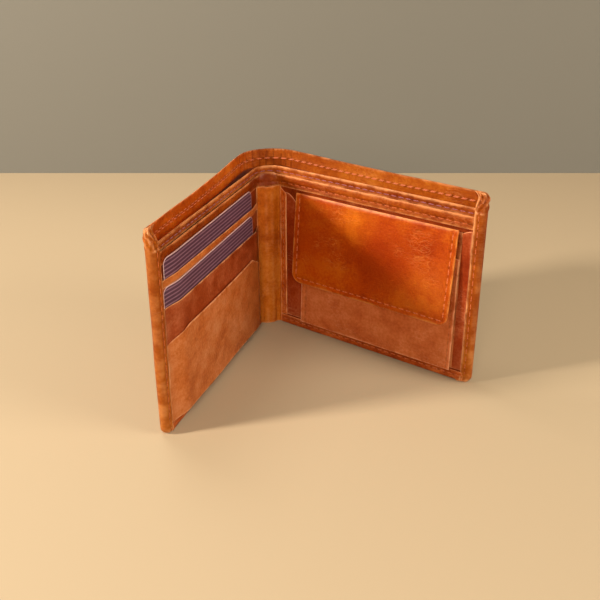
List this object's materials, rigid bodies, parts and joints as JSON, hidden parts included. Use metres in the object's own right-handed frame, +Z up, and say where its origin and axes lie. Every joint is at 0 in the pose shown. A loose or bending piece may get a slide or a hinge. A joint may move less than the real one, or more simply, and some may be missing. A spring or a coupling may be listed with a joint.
{
  "type": "bifold wallet",
  "caption": "Leather bifold wallet standing half open, with a note compartment, card slots holding two cards, and a coin pocket under a snap flap.",
  "frame": {"origin": "on the ground, under the middle of the half-open wallet's box", "axes": "+Z up along the fold, +Y from the open side towards the folded back, +X to the leaf with the coin pocket"},
  "size_m": [0.137, 0.0927, 0.085],
  "materials": {
    "cover_leather": "waxed pull-up leather, mottled, semi-gloss",
    "inner_leather": "waxed leather, darker and redder, semi-gloss",
    "lining_cloth": "woven lining, matte",
    "card": "dark plum with fine pale stripes, satin",
    "snap_brass": "antique brass, worn"
  },
  "bodies": {
    "leaf_right": {"cover_right": "cover_leather", "bill_lining_right": "lining_cloth", "divider_right": "lining_cloth", "divider_binding_right": "cover_leather", "inner_panel_right": "inner_leather", "top_band_right": "cover_leather", "slip_pocket": "inner_leather", "fold_side_strip": "cover_leather", "coin_pocket_back": "inner_leather", "coin_pocket_front": "cover_leather", "coin_gusset_left": "inner_leather", "coin_gusset_right": "inner_leather", "coin_gusset_base": "inner_leather", "snap_stud": "snap_brass", "snap_washer": "snap_brass"},
    "spine": {"cover_spine": "cover_leather", "bill_lining_spine": "lining_cloth", "divider_spine": "lining_cloth", "divider_binding_spine": "cover_leather", "top_band_spine": "cover_leather", "spine_strip": "cover_leather"},
    "leaf_left": {"cover_left": "cover_leather", "bill_lining_left": "lining_cloth", "divider_left": "lining_cloth", "divider_binding_left": "cover_leather", "inner_panel_left": "inner_leather", "top_band_left": "cover_leather", "card_pocket_upper": "inner_leather", "card_pocket_upper_trim": "cover_leather", "card_pocket_lower": "inner_leather", "card_pocket_lower_trim": "cover_leather", "front_pocket": "cover_leather"},
    "coin_flap": {"flap_leather": "cover_leather", "flap_lining": "inner_leather", "snap_socket": "snap_brass"},
    "upper_card": {"card_upper": "card"},
    "lower_card": {"card_lower": "card"}
  },
  "joints": [
    {"name": "right_fold", "type": "hinge", "parent": "leaf_right", "child": "spine", "pos_m": [0.005, 0.03832, 0], "axis": [0, 0, -1], "range_deg": [-35, 54], "deforming": ["cover_spine"]},
    {"name": "left_fold", "type": "hinge", "parent": "spine", "child": "leaf_left", "pos_m": [-0.005, 0.03832, 0], "axis": [0, 0, -1], "range_deg": [-35, 54], "deforming": ["bill_lining_spine"]},
    {"name": "coin_flap_hinge", "type": "hinge", "parent": "leaf_right", "child": "coin_flap", "pos_m": [0.03468, -0.00551, 0.0686], "axis": [-0.5878, 0.809, 0], "range_deg": [0, 170]},
    {"name": "upper_card_slide", "type": "slide", "parent": "leaf_left", "child": "upper_card", "axis": [0, 0, 1], "range_m": [0, 0.05]},
    {"name": "lower_card_slide", "type": "slide", "parent": "leaf_left", "child": "lower_card", "axis": [0, 0, 1], "range_m": [0, 0.05]}
  ],
  "couplings": [
    {"joint": "left_fold", "follows": "right_fold", "ratio": 1}
  ]
}
